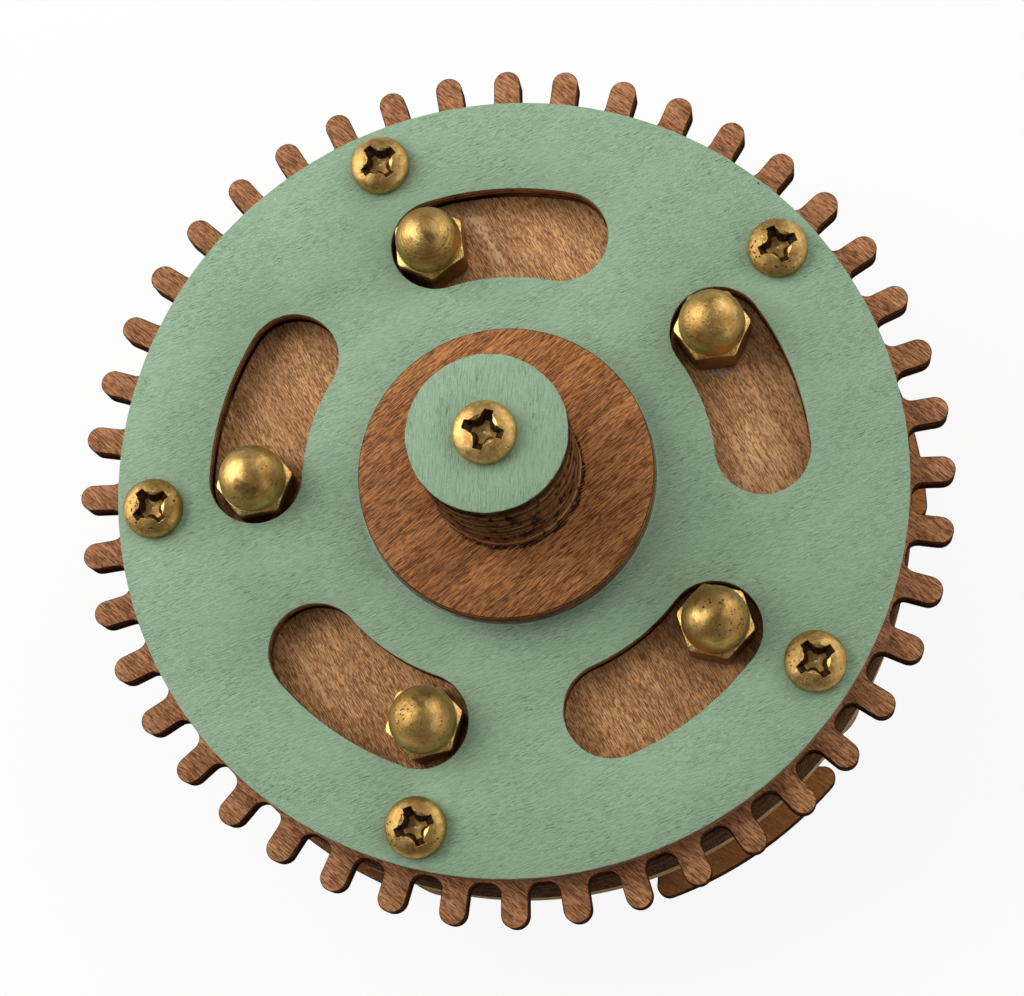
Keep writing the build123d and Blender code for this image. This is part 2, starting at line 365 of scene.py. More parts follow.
def cap_nut(name, flank, bevel, dome_metal):
    """A cap nut standing on z = 0: a bevelled hexagon under a domed cylinder."""
    slope = 1 / math.sqrt(3)
    top = NUT_HEX_HEIGHT

    def hex_ring(height, direction, shrink):
        """A ring on the hexagon, dropped at its corners where the bevel cuts them."""
        return [
            (x, y, height + direction * (math.hypot(x, y) - NUT_DOME) * slope)
            for x, y, _ in ring_at(0, lambda turn: hexagon(turn) - shrink)
        ]

    rings = [ring_at(0, share * NUT_DOME) for share in (0.05, 0.98)]
    rings.append(ring_at(0.02, NUT_DOME))
    rings.append(hex_ring(0, 1, 0))
    rings.append(hex_ring(top - 0.06, -1, 0))
    first_bevel = len(rings) - 1
    rings.append(hex_ring(top, -1, 0.04))
    rings.append(ring_at(top, NUT_DOME + 0.05))
    first_dome = len(rings) - 1
    spring = NUT_HEIGHT - NUT_DOME
    rings.append(ring_at(top + 0.02, NUT_DOME - NUT_NECK))
    rings.append(ring_at(top + 0.14, NUT_DOME - NUT_NECK))
    rings.append(ring_at(spring, NUT_DOME))
    for step in range(1, DOME_STEPS):
        lift = 90 * step / DOME_STEPS
        dome = at(NUT_DOME, lift)
        rings.append(ring_at(spring + dome.y, dome.x))
    rings.append(ring_at(NUT_HEIGHT, 0.04))
    return ringed(name, rings, (flank, bevel, dome_metal), (first_bevel, first_dome))


HEAD_RADIUS = 3.42
HEAD_HEIGHT = 2.3
HEAD_EDGE = 0.7
SHANK = 1.75
POINT_LENGTH = 3
POINT_RADIUS = 0.05
CROWN_STEPS = 17
RECESS_SPAN = 4.4
RECESS_WING = 1.1
RECESS_WAIST = 1.3
RECESS_DEPTH = 1.7
RECESS_FLOOR = 0.58
RECESS_LIP = 0.03
CRESCENT_REACH = 0.30
CRESCENT_START = 18
# How far the crescents' outer border and the recess's own lie below the crown
LIP_SINK = 0.02
MOUTH_SINK = 0.26


def recess(turn):
    """The radius of the screw's cross recess at a turn: four flat-ended wings joined by
    arcs that bulge inwards."""
    fold = abs((turn + 45) % 90 - 45)
    reach, half = RECESS_SPAN / 2, RECESS_WING / 2
    if fold < math.degrees(math.atan2(half, reach)):
        return reach / math.cos(math.radians(fold))
    bulge = RECESS_WAIST / math.sqrt(2)
    # The arc's circle has its centre on the diagonal, through (reach, half) and (bulge, bulge)
    centre = (reach ** 2 + half ** 2 - 2 * bulge ** 2) / (2 * (reach + half - 2 * bulge))
    radius = math.sqrt(2) * abs(centre - bulge)
    way = at(1, fold)
    along = way.x * centre + way.y * centre
    across = 2 * centre ** 2 - radius ** 2
    return along - math.sqrt(max(0.0, along ** 2 - across))


def crescent(turn):
    """How far the bevel between two wings of the recess reaches outwards at a turn."""
    fold = abs((turn + 45) % 90 - 45)
    share = max(0.0, (fold - CRESCENT_START) / (45 - CRESCENT_START))
    return RECESS_LIP + CRESCENT_REACH * math.sin(math.pi / 2 * share) ** 0.7


def head_height(radius):
    """The height of the pan head's crown at a radius."""
    share = min(1.0, radius / HEAD_RADIUS)
    return HEAD_EDGE + (HEAD_HEIGHT - HEAD_EDGE) * math.sqrt(max(0.0, 1 - share ** 2))


def on_crown(reach, sink=0.0):
    """A ring on the pan head's crown, or sunk below it, with its radius given by the turn."""
    return [(x, y, head_height(math.hypot(x, y)) - sink) for x, y, _ in ring_at(0, reach)]


def pan_screw(name, length, metals):
    """A wood screw standing point down, its head's underside at z = 0. Its metals are for the
    head, the recess's bevels, its walls and its floor, and a glint in the middle of that."""
    rings = [ring_at(-length + 0.05, POINT_RADIUS), ring_at(-length + POINT_LENGTH, SHANK)]
    rings += [ring_at(-0.01, SHANK), ring_at(0, HEAD_RADIUS - 0.15)]
    rings += [ring_at(0.12, HEAD_RADIUS), ring_at(HEAD_EDGE, HEAD_RADIUS)]
    for step in range(1, CROWN_STEPS):
        crown = HEAD_RADIUS * math.cos(math.radians(90 * step / CROWN_STEPS))
        rings.append(on_crown(lambda turn: max(crown, recess(turn) + crescent(turn) + 0.04)))
    first_mouth = len(rings) - 1
    for share, sink in ((1.0, LIP_SINK), (0.0, MOUTH_SINK)):
        rings.append(on_crown(lambda turn: recess(turn) + share * crescent(turn), sink))
    first_wall = len(rings) - 1
    mouth = head_height(RECESS_SPAN / 2) - MOUTH_SINK - 0.02
    floor = HEAD_HEIGHT - RECESS_DEPTH
    for share in (0.45, 0.97):
        scale = 1 - (1 - RECESS_FLOOR) * share
        rings.append(ring_at(mouth - (mouth - floor) * share, lambda turn: recess(turn) * scale))
    first_floor = len(rings) - 1
    rings.append(ring_at(floor - 0.02, lambda turn: recess(turn) * (RECESS_FLOOR - 0.04)))
    rings.append(ring_at(floor - 0.03, 0.14))
    first_glint = len(rings) - 1
    rings.append(ring_at(floor - 0.05, 0.11))
    rings.append(ring_at(floor - 0.06, 0.03))
    return ringed(name, rings, metals, (first_mouth, first_wall, first_floor, first_glint), sharp=35)


# ---------------------------------------------------------------- materials

def rgb(red, green, blue):
    """An sRGB colour, 0 to 255, as the linear colour that a shader takes."""
    def linear(value):
        value /= 255
        return value / 12.92 if value <= 0.04045 else ((value + 0.055) / 1.055) ** 2.4
    return (linear(red), linear(green), linear(blue), 1)


class Graph:
    """One material's shader nodes, with short ways to add and link them."""

    def __init__(self, name):
        self.material = bpy.data.materials.new(name)
        self.material.use_nodes = True
        self.tree = self.material.node_tree
        self.tree.nodes.clear()
        place = self.node("ShaderNodeTexCoord").outputs["Object"]
        self.mm = self.node("ShaderNodeVectorMath", {"operation": "SCALE"}, {0: place, "Scale": 1 / MM})
        self.mm = self.mm.outputs[0]
        axes = self.node("ShaderNodeSeparateXYZ", {}, {0: self.mm}).outputs
        self.x, self.y, self.z = axes[0], axes[1], axes[2]
        # A wood's broad streaks, once it has them
        self.figure = None

    def node(self, kind, settings=None, inputs=None):
        made = self.tree.nodes.new(kind)
        for key, value in (settings or {}).items():
            setattr(made, key, value)
        for key, value in (inputs or {}).items():
            self.feed(made.inputs[key], value)
        return made

    def feed(self, socket, value):
        if isinstance(value, bpy.types.NodeSocket):
            self.tree.links.new(value, socket)
        else:
            socket.default_value = value

    def math(self, operation, *values):
        inputs = dict(enumerate(values))
        return self.node("ShaderNodeMath", {"operation": operation}, inputs).outputs[0]

    def times(self, first, second):
        return self.math("MULTIPLY", first, second)

    def plus(self, first, second):
        return self.math("ADD", first, second)

    def minus(self, first, second):
        return self.math("SUBTRACT", first, second)

    def smooth(self, value, low, high, start=0.0, end=1.0):
        """A soft step of value from low to high."""
        return self.node(
            "ShaderNodeMapRange",
            {"interpolation_type": "SMOOTHSTEP"},
            {"Value": value, "From Min": low, "From Max": high, "To Min": start, "To Max": end},
        ).outputs["Result"]

    def mix(self, factor, first, second, blend="MIX"):
        made = self.node("ShaderNodeMix", {"data_type": "RGBA", "blend_type": blend})
        for index, value in ((0, factor), (6, first), (7, second)):
            self.feed(made.inputs[index], value)
        return made.outputs[2]

    def vector(self, operation, *values):
        return self.node("ShaderNodeVectorMath", {"operation": operation}, dict(enumerate(values)))

    def flat(self):
        """The place in the plane, with its z left out."""
        return self.node("ShaderNodeCombineXYZ", {}, {"X": self.x, "Y": self.y}).outputs[0]

    def reach(self):
        """The distance from the piece's own z axis."""
        return self.vector("LENGTH", self.flat()).outputs["Value"]

    def moved(self, x, y, z):
        """Coordinates moved along, so that two pieces don't get the same noise."""
        return self.node("ShaderNodeMapping", {}, {"Vector": self.mm, "Location": (x, y, z)}).outputs[0]

    def along(self, turn, length, width, seed=0.0):
        """Coordinates whose noise is drawn out along one direction in the plane."""
        turned = self.node(
            "ShaderNodeVectorRotate",
            {"rotation_type": "Z_AXIS"},
            {"Vector": self.mm, "Angle": math.radians(-turn)},
        ).outputs[0]
        return self.node(
            "ShaderNodeMapping",
            {},
            {"Vector": turned, "Location": (seed, seed * 1.7, seed * 0.3),
             "Scale": (1 / length, 1 / width, 1 / width)},
        ).outputs[0]

    def noise(self, vector, detail=3.0, roughness=0.5, scale=1.0, distortion=0.0):
        return self.node(
            "ShaderNodeTexNoise",
            {},
            {"Vector": vector, "Scale": scale, "Detail": detail, "Roughness": roughness,
             "Distortion": distortion},
        ).outputs["Fac"]

    def stroke(self, start, end, width, ragged, seed=0.0):
        """A mask round the line between two points in the plane, with a ragged border."""
        first = Vector((start[0], start[1], 0))
        way = Vector((end[0], end[1], 0)) - first
        offset = self.vector("SUBTRACT", self.flat(), first).outputs[0]
        dot = self.vector("DOT_PRODUCT", offset, way).outputs["Value"]
        share = self.node("ShaderNodeClamp", {}, {"Value": self.math("DIVIDE", dot, way.length_squared)})
        inputs = {0: way, "Scale": share.outputs[0]}
        foot = self.node("ShaderNodeVectorMath", {"operation": "SCALE"}, inputs).outputs[0]
        gap = self.vector("DISTANCE", offset, foot).outputs["Value"]
        border = self.noise(self.moved(seed, seed, seed), 4, 0.65, 1.1)
        wave = self.times(self.minus(border, 0.5), ragged)
        return self.smooth(self.plus(gap, wave), width, width * 0.25)

    def bump(self, height, distance, normal=None):
        inputs = {"Height": height, "Strength": 1.0, "Distance": distance * MM}
        if normal is not None:
            inputs["Normal"] = normal
        return self.node("ShaderNodeBump", {}, inputs).outputs[0]

    def surface(self, color, roughness, normal=None, **constants):
        """Ends the graph in one Principled shader. Its constants stay on the sockets."""
        inputs = {"Base Color": color, "Roughness": roughness}
        if normal is not None:
            inputs["Normal"] = normal
        for key, value in constants.items():
            inputs[key.replace("_", " ")] = value
        return self.ended_in(self.node("ShaderNodeBsdfPrincipled", {}, inputs).outputs[0])

    def ended_in(self, shader):
        self.node("ShaderNodeOutputMaterial", {}, {0: shader})
        return self.material


def scaled(color, red, green, blue):
    """A linear colour with each channel multiplied."""
    return (min(1, color[0] * red), min(1, color[1] * green), min(1, color[2] * blue), 1)


def stained_wood(name, turn, seed, tone, contrast=1.0, pale_share=0.4, marks=None, stretch=1.0):
    """Brown-stained birch veneer round one tone: fine fibres, short dark pores and light
    flecks over broad figure. marks adds the marks of one place to the colour, and stretch
    draws the fibres out."""
    g = Graph(name)
    dark = scaled(tone, 1 - 0.55 * contrast, 1 - 0.60 * contrast, 1 - 0.66 * contrast)
    light = scaled(tone, 1 + 0.50 * contrast, 1 + 0.56 * contrast, 1 + 0.64 * contrast)
    pale = scaled(tone, 1.75, 2.0, 2.4)
    fibres = g.noise(g.along(turn, 1.7 * stretch, 0.17, seed), 2, 0.5)
    dashes = g.noise(g.along(turn, 0.75 * stretch, 0.135, seed + 3), 2, 0.5)
    pores = g.noise(g.along(turn, 0.60 * stretch, 0.11, seed + 7), 1, 0.4)
    flecks = g.noise(g.along(turn, 0.90 * stretch, 0.12, seed + 29), 1, 0.4)
    fields = g.noise(g.along(turn, 12.0, 3.0, seed + 17), 3, 0.55, distortion=0.4)
    streaks = g.noise(g.along(turn, 6.0, 0.55, seed + 11), 3, 0.6, distortion=0.15)
    clouds = g.noise(g.along(turn, 9.0, 5.0, seed + 23), 2, 0.5)
    g.figure = streaks
    grain = g.plus(g.times(fibres, 0.45), g.times(dashes, 0.55))
    color = g.mix(g.smooth(grain, 0.43, 0.49), dark, tone)
    color = g.mix(g.smooth(grain, 0.51, 0.57), color, light)
    color = g.mix(g.smooth(fields, 0.38, 0.60, 0.36, 0.0), color, dark)
    color = g.mix(g.smooth(fields, 0.50, 0.70, 0.0, 0.25), color, light)
    color = g.mix(g.smooth(streaks, 0.38, 0.50, 0.32, 0.0), color, dark)
    color = g.mix(g.smooth(streaks, 0.52, 0.66, 0.0, 0.42), color, light)
    streak = g.times(g.smooth(streaks, 0.54, 0.66), g.smooth(fields, 0.46, 0.60))
    color = g.mix(g.times(streak, pale_share), color, pale)
    if marks:
        color = marks(g, color, pale)
    pore = g.smooth(pores, 0.54, 0.62, 0, 0.72 * min(1.0, contrast))
    color = g.mix(pore, color, scaled(dark, 0.66, 0.58, 0.5))
    color = g.mix(g.smooth(flecks, 0.56, 0.64, 0, 0.6 * min(1.0, contrast)), color, pale)
    color = g.mix(g.smooth(clouds, 0.35, 0.7, 0.20, 0.0), color, dark)
    height = g.minus(grain, g.times(pore, 0.7))
    roughness = g.smooth(grain, 0.4, 0.6, 0.52, 0.66)
    return g.surface(color, roughness, g.bump(height, 0.04), Specular_IOR_Level=0.2)


def painted_wood(name, turn, seed, paint):
    """Matt paint that has sunk into the grain, so that fine dark pores show through."""
    g = Graph(name)
    shade = scaled(paint, 0.90, 0.92, 0.90)
    light = scaled(paint, 1.09, 1.07, 1.10)
    grain = g.noise(g.along(turn, 1.9, 0.14, seed), 2, 0.5)
    pores = g.noise(g.along(turn, 1.0, 0.095, seed + 5), 1, 0.4)
    cuts = g.noise(g.along(turn, 1.3, 0.10, seed + 9), 1, 0.4)
    fields = g.noise(g.along(turn, 8.0, 3.5, seed + 13), 2, 0.5)
    clouds = g.noise(g.mm, 3, 0.5, 0.06)
    grit = g.noise(g.mm, 2, 0.6, 4.5)
    rough_grain = g.plus(g.times(grain, 0.6), g.times(grit, 0.4))
    color = g.mix(g.smooth(rough_grain, 0.40, 0.60), shade, paint)
    color = g.mix(g.smooth(grit, 0.52, 0.66, 0, 0.7), color, light)
    color = g.mix(g.smooth(clouds, 0.40, 0.64, 0, 0.30), color, light)
    pore = g.times(g.smooth(pores, 0.54, 0.62, 0, 0.34), g.smooth(fields, 0.34, 0.56, 0.6, 1.0))
    cut = g.times(g.smooth(cuts, 0.69, 0.74, 0, 0.6), g.smooth(fields, 0.44, 0.58))
    color = g.mix(pore, color, scaled(paint, 0.42, 0.46, 0.44))
    color = g.mix(cut, color, scaled(paint, 0.16, 0.18, 0.15))
    specks = g.node("ShaderNodeTexVoronoi", {}, {"Vector": g.mm, "Scale": 0.34}).outputs["Distance"]
    color = g.mix(g.smooth(specks, 0.034, 0.022, 0, 0.75), color, rgb(214, 222, 205))
    dirt = g.node("ShaderNodeTexVoronoi", {}, {"Vector": g.along(60, 1, 1, seed + 31), "Scale": 0.15})
    color = g.mix(g.smooth(dirt.outputs["Distance"], 0.028, 0.018, 0, 0.85), color, rgb(52, 44, 34))
    height = g.minus(g.times(grain, 0.7), g.plus(pore, cut))
    height = g.plus(height, g.times(grit, 0.25))
    roughness = g.smooth(grain, 0.35, 0.65, 0.62, 0.52)
    return g.surface(color, roughness, g.bump(height, 0.075), Specular_IOR_Level=0.3)


def ply_edge(name, node, outer, core, line, bright, seed, layers=3, burn=0.35, foot_shade=0.0,
             shade_top=0.75, shade_foot=0.2):
    """The cut edge of a plywood node: veneers with dark glue lines, bright fibres and scorched
    places, all drawn out along the sheet. The last three arguments paint shade that darkens the
    foot, more so in long stretches."""
    low, high = span(node)
    sheet = high - low
    g = Graph(name)
    wander = g.times(g.minus(g.noise(g.mm, 3, 0.55, 0.35), 0.5), 0.45)
    height = g.plus(g.minus(g.z, low), wander)
    veneer = g.math("FRACT", g.math("DIVIDE", height, sheet / layers))
    glue = g.smooth(g.math("ABSOLUTE", g.minus(veneer, 0.5)), 0.36, 0.48)
    within = g.math("FRACT", g.math("DIVIDE", height, sheet))
    central = g.smooth(g.math("ABSOLUTE", g.minus(within, 0.5)), 0.20, 0.13)

    def drawn_out(length, thickness, shift):
        """Coordinates whose noise is drawn out along the sheet."""
        inputs = {
            "Vector": g.mm,
            "Location": (seed + shift,) * 3,
            "Scale": (1 / length, 1 / length, 1 / thickness),
        }
        return g.node("ShaderNodeMapping", {}, inputs).outputs[0]

    fibres = g.noise(drawn_out(2.2, 0.13, 0), 4, 0.6)
    threads = g.noise(drawn_out(4.0, 0.10, 4), 2, 0.5)
    marks = g.noise(drawn_out(1.1, 3.2, 9), 3, 0.6)
    ends = g.noise(g.mm, 3, 0.6, 2.8)
    color = g.mix(g.times(central, 0.85), outer, core)
    color = g.mix(g.smooth(fibres, 0.36, 0.56, 0.75, 0.0), color, line)
    color = g.mix(g.times(glue, g.smooth(ends, 0.35, 0.6, 0.55, 0.9)), color, line)
    color = g.mix(g.smooth(threads, 0.60, 0.70, 0, 0.8), color, bright)
    color = g.mix(g.smooth(ends, 0.55, 0.68, 0, 0.35), color, bright)
    color = g.mix(g.smooth(marks, 0.48, 0.66, 0, burn), color, scaled(line, 0.45, 0.4, 0.4))
    if foot_shade:
        # Painted shade: the edge darkens towards its foot, more so in long stretches
        stretch = g.smooth(g.noise(g.mm, 2, 0.5, 0.09), 0.42, 0.52, 0.6, 1.0)
        dark_foot = g.times(g.smooth(height, sheet * shade_top, sheet * shade_foot, 0, foot_shade), stretch)
        color = g.mix(dark_foot, color, scaled(line, 0.25, 0.2, 0.15))
    relief = g.minus(g.plus(fibres, threads), g.times(glue, 0.6))
    return g.surface(color, g.smooth(fibres, 0.4, 0.6, 0.6, 0.75), g.bump(relief, 0.06),
                     Specular_IOR_Level=0.0)


def burnt_rim_and_glint(name, dark, warm, seed):
    """The edge that the laser scorched, darker here and there. With pale colours it is the painted glint
    in a screw's recess.
    """
    g = Graph(name)
    scorch = g.noise(g.mm, 3, 0.6, 1.1)
    fine = g.noise(g.mm, 2, 0.5, 7.0)
    color = g.mix(g.smooth(g.plus(scorch, g.times(fine, 0.2)), 0.5, 0.72), dark, warm)
    roughness = g.smooth(fine, 0.3, 0.7, 0.55, 0.7)
    return g.surface(color, roughness, g.bump(fine, 0.02), Specular_IOR_Level=0.0)


def aged_brass(name, seed, tarnish, pits, turned=0.0, sheen=0.42, bright=1.0, smudge=None):
    """Old brass: warm metal under brown tarnish, pitted, with turning rings on a dome.
    bright makes the warm metal lighter or darker, and smudge is a dark stain's two end points
    and its width."""
    g = Graph(name)
    place = g.moved(seed, seed * 2, seed * 3)
    blotch = g.noise(place, 4, 0.6, 0.34, 0.4)
    mottle = g.noise(place, 4, 0.65, 1.6)
    fine = g.noise(place, 3, 0.6, 8.0)
    radial = g.node("ShaderNodeCombineXYZ", {}, {"X": g.reach(), "Z": seed}).outputs[0]
    rings = g.noise(radial, 3, 0.7, 5.5)
    cells = g.node("ShaderNodeTexVoronoi", {}, {"Vector": place, "Scale": 2.3, "Randomness": 1.0})
    field = g.smooth(blotch, 0.46, 0.60)
    hole = g.times(g.smooth(cells.outputs["Distance"], 0.34, 0.18), field)
    hole = g.times(hole, g.smooth(mottle, 0.42, 0.54, 0, pits))
    warm = g.mix(g.smooth(mottle, 0.38, 0.62), rgb(204, 158, 84), rgb(240, 204, 132))
    warm = g.mix(1.0, warm, (bright, bright, bright, 1), "MULTIPLY")
    dull = g.mix(g.smooth(fine, 0.38, 0.62), rgb(116, 84, 38), rgb(164, 130, 72))
    worn = g.plus(g.times(blotch, 0.45), g.times(mottle, 0.3))
    worn = g.plus(worn, g.times(fine, 0.25))
    age = g.smooth(worn, 0.43, 0.57, tarnish * 0.25, tarnish)
    color = g.mix(age, warm, dull)
    lathe = g.times(g.smooth(rings, 0.44, 0.60), g.smooth(mottle, 0.40, 0.62, 0.15, turned))
    color = g.mix(lathe, color, rgb(112, 82, 40))
    if smudge:
        darkening = g.times(g.stroke(*smudge, 2.4, seed), g.smooth(mottle, 0.38, 0.55, 0.3, 0.75))
        color = g.mix(darkening, color, rgb(106, 88, 54))
    color = g.mix(hole, color, rgb(52, 32, 18))
    rough = g.smooth(worn, 0.42, 0.58, sheen - 0.08, sheen + 0.12)
    rough = g.plus(rough, g.times(hole, 0.4))
    height = g.plus(g.times(fine, 0.6), g.times(rings, turned * 1.2))
    height = g.plus(height, g.times(mottle, 1.2))
    height = g.minus(height, g.times(hole, 2.0))
    return g.surface(color, rough, g.bump(height, 0.045), Metallic=1.0)


def recess_shade(name):
    """Painted shade on the steep walls of a screw's recess: dark brown, in patches."""
    g = Graph(name)
    shade_patches = g.noise(g.mm, 4, 0.65, 1.8)
    fine = g.noise(g.mm, 2, 0.6, 7.0)
    color = g.mix(g.smooth(shade_patches, 0.45, 0.65), rgb(40, 24, 10), rgb(98, 66, 28))
    return g.surface(color, g.smooth(fine, 0.3, 0.7, 0.45, 0.65), g.bump(fine, 0.02), Metallic=0.35,
                     Specular_IOR_Level=0.3)


def bare_steel(name):
    """Zinc-plated steel, a little cloudy."""
    g = Graph(name)
    cloud = g.noise(g.mm, 4, 0.6, 0.9)
    fine = g.noise(g.mm, 2, 0.5, 8.0)
    color = g.mix(g.smooth(cloud, 0.35, 0.65), rgb(150, 150, 146), rgb(184, 184, 180))
    return g.surface(color, g.smooth(fine, 0.3, 0.7, 0.3, 0.45), g.bump(fine, 0.01), Metallic=1.0)


def clear_sheet(name, radius):
    """A thin clear plastic washer with faint scratches and a painted highlight on its cut rim."""
    g = Graph(name)
    scratch = g.noise(g.along(35, 6, 0.08), 2, 0.5)
    rim = g.smooth(g.reach(), radius - 0.16, radius - 0.06)
    tint = g.mix(g.smooth(scratch, 0.4, 0.6), rgb(196, 212, 194), rgb(222, 234, 218))
    # Painted highlight: towards the rim it lets far less through, so its pale tint shows as a light line
    alpha = g.plus(0.12, g.times(rim, 0.55))
    return g.surface(tint, g.smooth(scratch, 0.4, 0.6, 0.15, 0.3), g.bump(scratch, 0.004), Alpha=alpha)


def stroke_through(g, points, width, ragged, seed):
    """A ragged mask along a line through several points."""
    mask = g.stroke(points[0], points[1], width, ragged, seed)
    for start, end in zip(points[1:], points[2:]):
        mask = g.math("MAXIMUM", mask, g.stroke(start, end, width, ragged, seed))
    return mask


MINERAL_VEIN = ((-4.9, 32.1), (-3.9, 31.2), (-3.0, 29.4), (-2.2, 27.7), (-1.5, 26.9), (-1.2, 25.6))


def floor_marks(g, color, pale):
    """What shows in single slots: a pale mineral vein, pale figure and a line of glue."""
    vein = stroke_through(g, MINERAL_VEIN, 0.55, 2.6, 1)
    head = g.stroke((-5.0, 32.2), (-3.6, 30.9), 0.9, 2.8, 2)
    vein = g.math("MAXIMUM", vein, head)
    color = g.mix(g.times(vein, 0.85), color, scaled(pale, 1.05, 1.07, 1.15))
    patch = g.stroke((28.5, 5.8), (27.0, 0.5), 2.2, 5.0, 3)
    patch = g.math("MAXIMUM", patch, g.stroke((29.9, 3.5), (30.2, -0.5), 1.8, 5.0, 4))
    patch = g.times(patch, g.smooth(g.figure, 0.40, 0.52))
    color = g.mix(g.times(patch, 0.6), color, pale)
    line = g.stroke((-24.6, -18.1), (-20.2, -25.4), 0.4, 0.8, 5)
    color = g.mix(g.times(line, 0.6), color, pale)
    glue = g.stroke((22.0, 12.9), (25.8, 12.7), 0.45, 3.4, 6)
    return g.mix(g.times(glue, 0.8), color, rgb(196, 176, 168))


# The radius that the dark ring round the knob's foot reaches
KNOB_FOOT = 8.72


def flange_marks(g, color, pale):
    """Two pale streaks across the flange, and a dark ring round the knob's foot."""
    streak = g.stroke((-14.0, -11.6), (-6.4, -5.2), 0.5, 1.3, 7)
    streak = g.math("MAXIMUM", streak, g.stroke((9.5, 4.5), (15.0, 9.0), 0.5, 1.4, 8))
    color = g.mix(g.times(streak, 0.5), color, pale)
    wave = g.times(g.minus(g.noise(g.mm, 4, 0.7, 1.1), 0.5), 1.3)
    # It reaches further towards the lower right
    lean = g.minus(g.times(g.x, 0.035), g.times(g.y, 0.022))
    border = g.minus(g.plus(g.reach(), wave), lean)
    glue = g.smooth(border, KNOB_FOOT + 0.1, KNOB_FOOT - 0.1)
    return g.mix(glue, color, rgb(24, 13, 8))


def painted_lug_shade(g, color, pale):
    """Painted shade: the lower left lug made far darker."""
    darkening = g.stroke((-38.0, -28.0), (-16.0, -45.0), 12.0, 3.0, 9)
    return g.mix(g.times(darkening, 0.85), color, rgb(74, 46, 28))


PAINT = rgb(148, 176, 146)
gear_face = stained_wood("gear_face", 140, 2.0, rgb(170, 116, 75), 1.05, 0.4, stretch=1.2)
flange_face = stained_wood("flange_face", 40, 31.0, rgb(162, 104, 57), 1.15, 0.5, flange_marks, 1.5)
floor_face = stained_wood("floor_face", 121, 57.0, rgb(206, 150, 99), 1.0, 0.5, floor_marks)
inner_face = stained_wood("inner_face", 95, 71.0, rgb(120, 88, 64), 0.8, 0.3)
# The lug plate's face, with painted shade over the lower left lug
lug_face = stained_wood("lug_face", 150, 83.0, rgb(172, 112, 60), 0.55, 0.3, painted_lug_shade)
bare_face = stained_wood("bare_face", 60, 97.0, rgb(204, 176, 136), 0.4, 0.3)
painted_face = painted_wood("painted_face", 22, 5.0, PAINT)
painted_cap = painted_wood("painted_cap", 86, 45.0, PAINT)
scorched = burnt_rim_and_glint("scorched", rgb(46, 28, 20), rgb(92, 60, 40), 1)
painted_rim = burnt_rim_and_glint("painted_rim", rgb(126, 148, 120), rgb(158, 182, 152), 2)
bare_rim = burnt_rim_and_glint("bare_rim", rgb(120, 92, 66), rgb(160, 130, 98), 3)
steel = bare_steel("steel")
clear = clear_sheet("clear", radius_of("upper_slip_washer"))


def stained_edge(name, node, seed):
    """A plywood edge that took the stain unevenly, with painted shade darkening its foot."""
    return ply_edge(name, node, rgb(104, 66, 42), rgb(74, 46, 29), rgb(26, 14, 8), rgb(160, 120, 86),
                    seed, foot_shade=0.55)


def drum_edge_of(name, node, seed):
    """The edge of a dark drum ring, in fine grey-brown lines."""
    return ply_edge(name, node, rgb(118, 86, 62), rgb(94, 66, 47), rgb(46, 29, 20), rgb(196, 162, 126),
                    seed, 5, burn=0.5)


# ---------------------------------------------------------------- pieces

def dress(piece, body, node):
    """Rides on a body and stands for a CAD node."""
    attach(piece, body)
    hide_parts(node)


def layer(name, node, outlines, bevel, materials, body):
    """A plate that stands for a CAD node, between the node's own heights."""
    low, high = span(node)
    dress(plate(name, outlines, low, high, bevel, materials), body, node)


def stand(piece, spot, height, turn):
    """Stands a piece on a spot in the plane, turned about its own axis."""
    piece.location = (spot.x * MM, spot.y * MM, height * MM)
    piece.rotation_euler.z = math.radians(turn)


# Face plate
CENTRE_BORE = 6.05
face_outlines = [circle(radius_of("face_plate"), steps=360), circle(CENTRE_BORE, steps=64)]
face_outlines += [arc_slot(k) for k in range(SECTORS)]
face_outlines += rim_screw_holes()
face_edge = ply_edge("face_edge", "face_plate", rgb(206, 160, 128), rgb(164, 118, 90), rgb(74, 48, 34),
                     rgb(232, 198, 168), 7)
# The walls of the face plate's holes and slots: a darker copy of its edge, with painted shade that is
# darkest at their foot
shaded_slot_wall = ply_edge("shaded_slot_wall", "face_plate", rgb(168, 118, 78), rgb(124, 82, 52), rgb(50, 29, 18),
                     rgb(200, 156, 116), 15, burn=0.4, foot_shade=0.98, shade_top=0.5, shade_foot=0.36)
layer("face_panel", "face_plate", face_outlines, 0.07,
      (painted_face, face_edge, painted_rim, shaded_slot_wall), "wheel")

# Toothed ring
gear_edge = stained_edge("gear_edge", "gear_ring", 3)
layer("toothed_ring", "gear_ring", wheel_outlines(toothed_outline()), 0.09,
      (gear_face, gear_edge, scorched), "wheel")

# Drum: dark rings and the bare foot ring
DRUM_RINGS = 4
for k in range(DRUM_RINGS):
    node = f"core_ring_{k + 1}"
    outlines = wheel_outlines(circle(radius_of(node), steps=320))
    edge = drum_edge_of(f"drum_edge_{k + 1}", node, 20 + 9 * k)
    layer(f"drum_ring_{k + 1}", node, outlines, 0.04, (inner_face, edge, edge), "wheel")
foot_outlines = wheel_outlines(circle(radius_of("foot_ring"), steps=320))
bare_edge = ply_edge("bare_edge", "foot_ring", rgb(246, 206, 152), rgb(214, 172, 122), rgb(140, 102, 66),
                     rgb(255, 228, 184), 51, burn=0.2)
layer("drum_foot", "foot_ring", foot_outlines, 0.1, (bare_face, bare_edge, bare_rim), "wheel")

